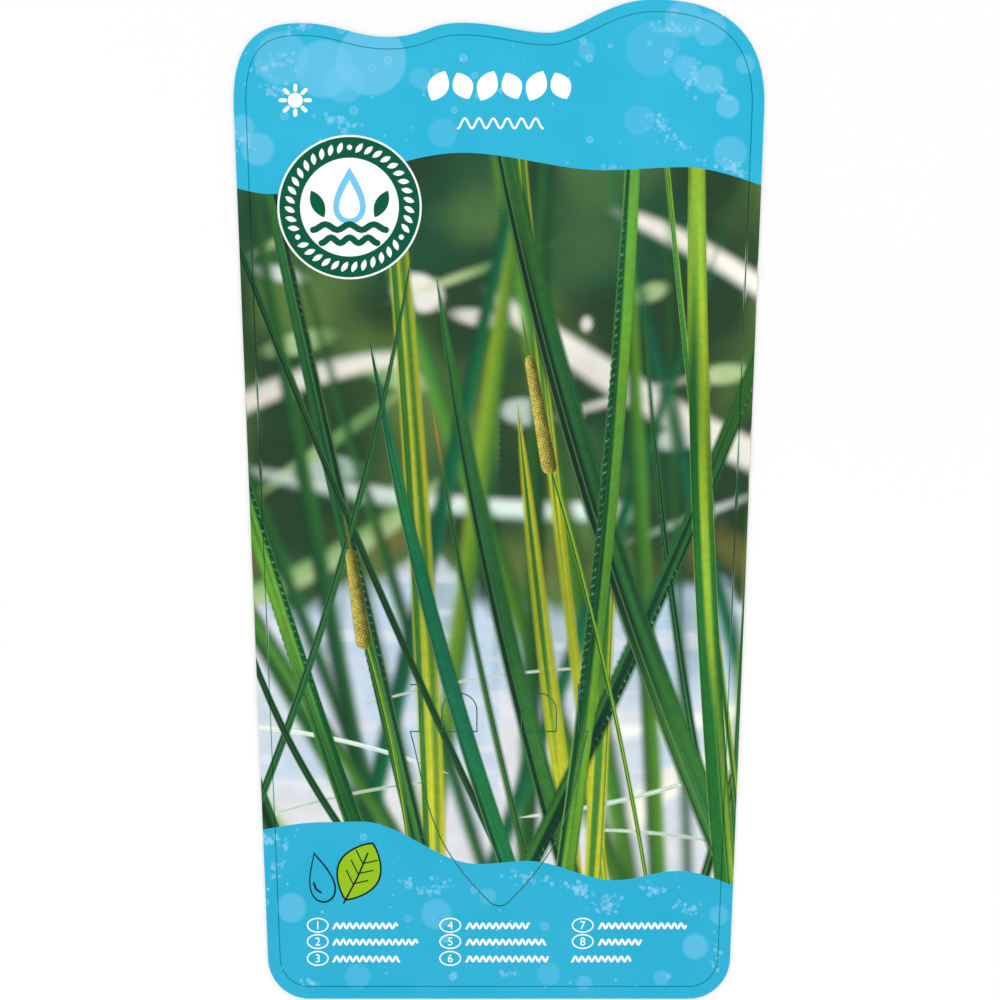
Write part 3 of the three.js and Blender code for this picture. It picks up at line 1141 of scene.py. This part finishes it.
def leaf_material():
    """A leaf from its values along and across: soft bands of lit and shaded green, and a bright margin."""
    nodes = Nodes("leaf_ink")
    lit, shade, grain = nodes.leaf_values()
    along, across, seed = grain
    crinkle = nodes.attribute("crinkle", "Fac")
    chance = nodes.math("FRACT", nodes.times(seed, 7.31))
    other_chance = nodes.math("FRACT", nodes.times(seed, 13.7))

    bands = nodes.noise(nodes.stretched(grain, (0.013, 1.15, 71.0)), 1.0, 0.0)
    side = nodes.math("MULTIPLY_ADD", across, 0.16, bands)
    colour = nodes.mix(nodes.ramp(side, 0.36, 0.6), lit, shade)

    veins = nodes.noise(nodes.stretched(grain, (0.03, 7.0, 53.0)), 1.0, 2.0, 0.6)
    light = nodes.ramp(veins, 0.25, 0.75, 0.86, 1.14)
    round_off = nodes.math("MULTIPLY_ADD", nodes.times(across, across), -0.24, 1.06)
    mottle = nodes.ramp(nodes.noise(nodes.place(), 900, 3.0, 0.65), 0.25, 0.75, 0.9, 1.1)
    colour = nodes.lit(colour, nodes.times(nodes.times(light, round_off), mottle))

    bright = nodes.mix(0.45, lit, (0.52, 0.66, 0.3, 1))
    margin = nodes.times(nodes.ramp(across, 0.78, 0.96), nodes.ramp(chance, 0.35, 0.95, 0.0, 0.6))
    margin = nodes.times(margin, nodes.math("MULTIPLY_ADD", crinkle, -0.8, 1.0))
    colour = nodes.mix(margin, colour, bright)
    deep = nodes.times(nodes.ramp(across, -0.98, -0.8, 0.6, 0.0), other_chance)
    colour = nodes.mix(deep, colour, (0.012, 0.09, 0.055, 1))
    off_rib = nodes.math("ABSOLUTE", nodes.math("SUBTRACT", across, nodes.math("SUBTRACT", chance, 0.5)))
    rib = nodes.times(nodes.ramp(off_rib, 0, 0.11, 0.3, 0), other_chance)
    colour = nodes.mix(rib, colour, bright)

    uneven = nodes.noise(nodes.stretched(grain, (1.0, 4.0, 1.0)), 0.9, 1.0)
    patchy = nodes.times(nodes.ramp(uneven, 0.4, 0.62, 0.1), crinkle)
    slant = nodes.math("MULTIPLY_ADD", uneven, 4.0, nodes.times(across, 4.0))
    waves = nodes.math("SINE", nodes.math("MULTIPLY_ADD", along, 2 * math.pi / CRINKLE_PITCH, slant))
    off_row = nodes.math("ABSOLUTE", nodes.math("SUBTRACT", across, 0.72))
    for sign, most, tint in ((1.0, 0.42, (0.26, 0.56, 0.36, 1)), (-1.0, 0.26, (0.012, 0.10, 0.06, 1))):
        dash = nodes.ramp(nodes.times(waves, sign), 0.35, 1.0)
        row = nodes.ramp(off_row, 0.08, 0.34, most, 0.0)
        colour = nodes.mix(nodes.times(nodes.times(dash, row), patchy), colour, tint)
    return satin(nodes, colour)


def spike_material():
    """A reed head of many tiny buds set close together, lit from its left."""
    nodes = Nodes("spike_ink")
    lit, shade, (along, across, seed) = nodes.leaf_values()
    edge = nodes.math("MULTIPLY_ADD", nodes.noise(nodes.place(), 500, 3.0), 0.9, across)
    colour = nodes.mix(nodes.ramp(edge, -0.5, 1.25, 1.0, 0.0), lit, shade)
    bend = nodes.math("ARCSINE", nodes.times(across, 0.98))
    wrapped = nodes.add("CombineXYZ", [
        nodes.math("MULTIPLY_ADD", along, 1.1, nodes.times(bend, 2.2)),
        nodes.math("MULTIPLY_ADD", bend, -1.2, nodes.times(along, 2.1)),
        nodes.times(seed, 31.0),
    ])
    gaps = nodes.add("TexVoronoi", {"Vector": wrapped, "Scale": 1.0, "Randomness": 0.3}, feature="F1")
    light = nodes.ramp(gaps, 0.15, 0.7, 1.25, 0.5)
    patches = nodes.ramp(nodes.noise(nodes.place(), 1100), 0.3, 0.7, 0.82, 1.12)
    return satin(nodes, nodes.lit(colour, nodes.times(light, patches)))


def band_material():
    """The blue of the header and footer, with the faint clouds of a water picture."""
    nodes = Nodes("band_ink")
    place = nodes.place()
    cloud = nodes.ramp(nodes.noise(place, 55, 4.0, 0.55), 0.3, 0.72)
    colour = nodes.mix(nodes.times(cloud, 0.16), nodes.attribute("ink"), (0.09, 0.56, 0.79, 1))
    deep = nodes.ramp(nodes.noise(place, 31, 3.0), 0.5, 0.8, 0.0, 0.18)
    colour = nodes.mix(deep, colour, (0.03, 0.42, 0.64, 1))
    return satin(nodes, colour, grain=0.015)


def cut_material():
    """The walls of the cuts, darkened with painted shade for the dark of the narrow slits, in the teal of the
    line's ink that the blade drags down them.
    """
    nodes = Nodes("inked_and_shaded_cut")
    streaks = nodes.ramp(nodes.noise(nodes.place(), 4000), 0.3, 0.7)
    # painted shade: teal-dark walls so that the slits look dark, as well as the line's ink dragged down them
    colour = nodes.mix(streaks, (0.008, 0.38, 0.22, 1), (0.015, 0.48, 0.30, 1))
    return satin(nodes, colour, roughness=0.5)


def flat_material():
    """Solid inks: white, green, blue, lime and black, as the corners say."""
    nodes = Nodes("flat_ink")
    return satin(nodes, nodes.attribute("ink"), grain=0.012)


MATERIALS = {
    "core": core_material,
    "picture": picture_material,
    "leaf": leaf_material,
    "spike": spike_material,
    "band": band_material,
    "flat": flat_material,
    "cut": cut_material,
}


def linked(name, data):
    """A new object in the scene."""
    made = bpy.data.objects.new(name, data)
    bpy.context.scene.collection.objects.link(made)
    return made


def make_card():
    loops = card_loops()
    sheet = Print()
    sheet.fill(WHITE, *(as_drop(shifted(loop, -rim)) for loop, rim in zip(loops, rim_sizes(loops))))
    x0, x1 = CARD_LOW[0] - BLEED, CARD_HIGH[0] + BLEED
    add_picture(sheet, [(x0, 0), (x1, 0), (x1, CARD_HEIGHT), (x0, CARD_HEIGHT)])
    add_bands(sheet)
    add_keyline(sheet, loops)
    add_badge(sheet)
    add_title(sheet)
    add_emblem(sheet)
    add_rows(sheet)
    for index, loop in enumerate(sheet.loops):
        sheet.loops[index] = as_drop(loop)
    card = linked("printed_card", card_mesh(sheet))
    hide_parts("label_card")
    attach(card, "root")


# The setting

FLOOR_REACH = 8.0  # metres from the card


def make_floor():
    mesh = bpy.data.meshes.new("floor")
    corners = [(x * FLOOR_REACH, y * FLOOR_REACH, 0) for x, y in ((-1, -1), (1, -1), (1, 1), (-1, 1))]
    mesh.from_pydata(corners, [], [(0, 1, 2, 3)])
    nodes = Nodes("pale_floor")
    cloud = nodes.ramp(nodes.noise(nodes.place(), 4.0, 3.0), 0.3, 0.7)
    colour = nodes.mix(cloud, (0.93, 0.93, 0.93, 1), (0.95, 0.95, 0.95, 1))
    nodes.shade(Base_Color=colour, Roughness=0.9, Specular_IOR_Level=0.0)
    mesh.materials.append(nodes.owner)
    floor = linked("floor", mesh)


def make_camera():
    data = bpy.data.cameras.new("camera")
    data.lens = LENS
    data.sensor_width = SENSOR
    camera = linked("camera", data)
    x, drop = PHOTO_MIDDLE
    distance = PHOTO_PIXELS * PIXEL * LENS / SENSOR
    camera.location = Vector((x, CARD_TOP - drop, CARD_THICKNESS + distance)) * MM
    bpy.context.scene.camera = camera


LIGHTS = 4
LIGHT_HEIGHT = math.radians(42)
LIGHT_WIDTH = math.radians(38)
LIGHT_STRENGTH = 0.42
ROOM_BESIDE = 1.0  # how bright the room is at the horizon
ROOM_OVERHEAD = 0.62


def make_lights():
    """Wide soft lights round the card, low enough that its gloss doesn't mirror them upwards."""
    for index in range(LIGHTS):
        name = f"soft_light_{index}"
        data = bpy.data.lights.new(name, "SUN")
        data.angle = LIGHT_WIDTH
        data.energy = LIGHT_STRENGTH
        turn = 2 * math.pi * (index + 0.5) / LIGHTS
        place = Vector((
            math.cos(LIGHT_HEIGHT) * math.cos(turn),
            math.cos(LIGHT_HEIGHT) * math.sin(turn),
            math.sin(LIGHT_HEIGHT),
        ))
        lamp = linked(name, data)
        lamp.location = place
        lamp.rotation_euler = place.to_track_quat("Z", "Y").to_euler()


def make_world():
    """A pale room, darker overhead."""
    nodes = Nodes("room", world=True)
    height = nodes.parts(nodes.place("Generated"))["Z"]
    nodes.shade(Color=(1, 1, 1, 1), Strength=nodes.ramp(height, 0.1, 0.8, ROOM_BESIDE, ROOM_OVERHEAD))
    bpy.context.scene.world = nodes.owner


make_camera()
make_card()
make_floor()
make_lights()
make_world()
bpy.context.scene.view_settings.view_transform = "Standard"
